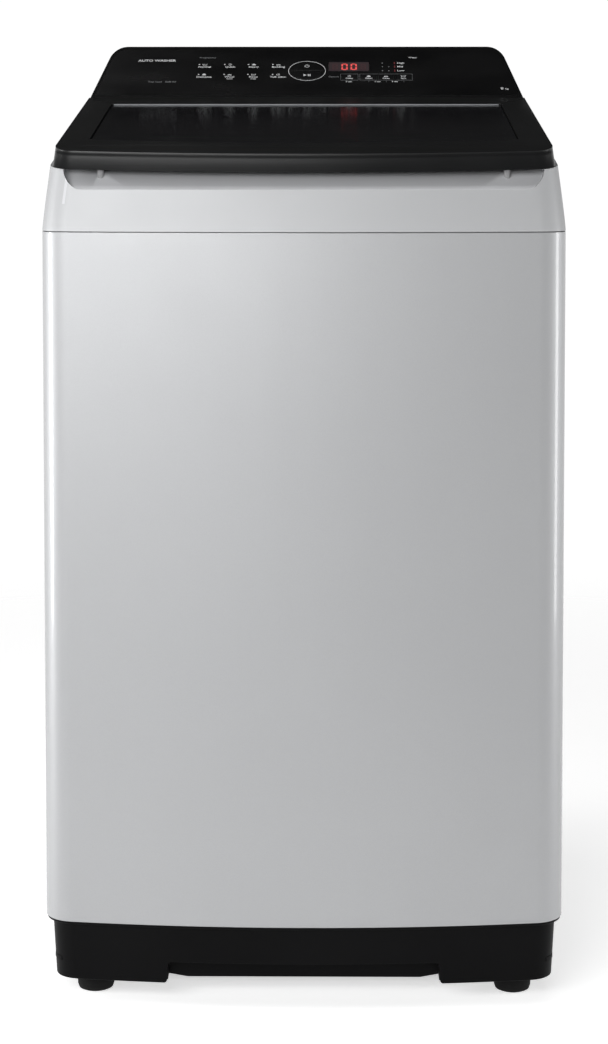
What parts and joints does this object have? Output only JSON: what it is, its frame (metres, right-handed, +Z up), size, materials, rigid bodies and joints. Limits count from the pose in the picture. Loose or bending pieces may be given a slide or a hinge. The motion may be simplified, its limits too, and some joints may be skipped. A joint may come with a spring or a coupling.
{
  "type": "top load washing machine",
  "caption": "Top-loading automatic washing machine with a sloping smoked glass lid, raised rear control panel, silver cabinet and black base.",
  "frame": {"origin": "on the floor, under the middle of the cabinet", "axes": "+Z up, the bowed front faces -Y, +X to the viewer's right"},
  "size_m": [0.54, 0.568, 1.008],
  "materials": {
    "silver_paint": "satin metallic",
    "silver_plastic": "satin",
    "black_plastic": "fine texture",
    "black_gloss": "high gloss",
    "smoked_glass": "dark smoked",
    "white_plastic": "satin",
    "grey_plastic": "satin",
    "stainless": "brushed",
    "galvanised": "zinc coated",
    "spring_steel": "oiled",
    "rubber": "matt",
    "board_green": "solder mask"
  },
  "bodies": {
    "cabinet": {"cabinet_shell": "silver_paint", "rear_panel": "galvanised", "base_frame": "black_plastic", "top_cover": "silver_plastic", "console_housing": "black_plastic", "console_fascia": "black_gloss", "display_window": "smoked_glass", "control_board": "board_green", "inlet_valve": "white_plastic", "water_duct": "grey_plastic", "detergent_case": "grey_plastic", "level_sensor": "white_plastic", "lid_switch": "white_plastic", "mains_gland": "black_plastic", "lid_bumper_left": "rubber", "lid_bumper_right": "rubber", "suspension_rod_front_left": "galvanised", "suspension_rod_front_right": "galvanised", "suspension_rod_rear_left": "galvanised", "suspension_rod_rear_right": "galvanised", "suspension_spring_front_left": "spring_steel", "suspension_spring_front_right": "spring_steel", "suspension_spring_rear_left": "spring_steel", "suspension_spring_rear_right": "spring_steel"},
    "tub": {"outer_tub": "white_plastic", "tub_ring": "grey_plastic", "drive_mount": "galvanised", "gear_case": "galvanised", "drive_motor": "galvanised", "drain_valve": "black_plastic", "drive_belt": "rubber", "damper_cup_front_left": "black_plastic", "damper_cup_front_right": "black_plastic", "damper_cup_rear_left": "black_plastic", "damper_cup_rear_right": "black_plastic"},
    "basket": {"spin_basket": "stainless", "balance_ring": "white_plastic", "basket_base": "white_plastic", "spin_shaft": "stainless", "lint_filter_left": "white_plastic", "lint_filter_right": "white_plastic"},
    "agitator": {"pulsator": "grey_plastic", "wash_shaft": "stainless", "drive_pulley": "galvanised"},
    "motor_rotor": {"motor_pulley": "stainless"},
    "lid": {"lid_frame": "black_gloss", "lid_glass": "smoked_glass", "lid_hinge_pin_left": "stainless", "lid_hinge_pin_right": "stainless"},
    "drawer": {"detergent_drawer": "white_plastic"},
    "power_key": {"power_button": "black_gloss"},
    "start_key": {"start_button": "black_gloss"},
    "key_1": {"option_key_1": "black_gloss"},
    "key_2": {"option_key_2": "black_gloss"},
    "key_3": {"option_key_3": "black_gloss"},
    "key_4": {"option_key_4": "black_gloss"},
    "leg_front_left": {"foot_front_left": "rubber"},
    "leg_front_right": {"foot_front_right": "rubber"},
    "leg_rear_left": {"foot_rear_left": "rubber"},
    "leg_rear_right": {"foot_rear_right": "rubber"}
  },
  "joints": [
    {"name": "lid_hinge", "type": "hinge", "parent": "cabinet", "child": "lid", "pos_m": [0, 0.11, 0.9343], "axis": [-1, 0, 0], "range_deg": [0, 105]},
    {"name": "drawer_slide", "type": "slide", "parent": "cabinet", "child": "drawer", "axis": [0, -1, 0], "range_m": [0, 0.085]},
    {"name": "tub_suspension", "type": "slide", "parent": "cabinet", "child": "tub", "axis": [0, 0, 1], "range_m": [-0.015, 0.015], "stiffness_N_per_m": 9000, "springref_m": 0.03273, "deforming": ["suspension_spring_front_left", "suspension_spring_front_right", "suspension_spring_rear_left", "suspension_spring_rear_right"]},
    {"name": "basket_spin", "type": "hinge", "parent": "tub", "child": "basket", "pos_m": [0, 0, 0.4], "axis": [0, 0, 1], "continuous": true},
    {"name": "agitator_spin", "type": "hinge", "parent": "tub", "child": "agitator", "pos_m": [0, 0, 0.2], "axis": [0, 0, 1], "continuous": true},
    {"name": "motor_spin", "type": "hinge", "parent": "tub", "child": "motor_rotor", "pos_m": [0, 0.15, 0.112], "axis": [0, 0, 1], "continuous": true},
    {"name": "power_press", "type": "slide", "parent": "cabinet", "child": "power_key", "axis": [0, 0.5402, -0.8415], "range_m": [0, 0.001], "stiffness_N_per_m": 1500},
    {"name": "start_press", "type": "slide", "parent": "cabinet", "child": "start_key", "axis": [0, 0.5402, -0.8415], "range_m": [0, 0.001], "stiffness_N_per_m": 1500},
    {"name": "key_1_press", "type": "slide", "parent": "cabinet", "child": "key_1", "axis": [0, 0.5402, -0.8415], "range_m": [0, 0.001], "stiffness_N_per_m": 1200},
    {"name": "key_2_press", "type": "slide", "parent": "cabinet", "child": "key_2", "axis": [0, 0.5402, -0.8415], "range_m": [0, 0.001], "stiffness_N_per_m": 1200},
    {"name": "key_3_press", "type": "slide", "parent": "cabinet", "child": "key_3", "axis": [0, 0.5402, -0.8415], "range_m": [0, 0.001], "stiffness_N_per_m": 1200},
    {"name": "key_4_press", "type": "slide", "parent": "cabinet", "child": "key_4", "axis": [0, 0.5402, -0.8415], "range_m": [0, 0.001], "stiffness_N_per_m": 1200},
    {"name": "leg_front_left_screw", "type": "slide", "parent": "cabinet", "child": "leg_front_left", "axis": [0, 0, 1], "range_m": [-0.012, 0.006]},
    {"name": "leg_front_right_screw", "type": "slide", "parent": "cabinet", "child": "leg_front_right", "axis": [0, 0, 1], "range_m": [-0.012, 0.006]},
    {"name": "leg_rear_left_screw", "type": "slide", "parent": "cabinet", "child": "leg_rear_left", "axis": [0, 0, 1], "range_m": [-0.012, 0.006]},
    {"name": "leg_rear_right_screw", "type": "slide", "parent": "cabinet", "child": "leg_rear_right", "axis": [0, 0, 1], "range_m": [-0.012, 0.006]}
  ],
  "couplings": [
    {"joint": "motor_spin", "follows": "agitator_spin", "ratio": 4.3433}
  ]
}
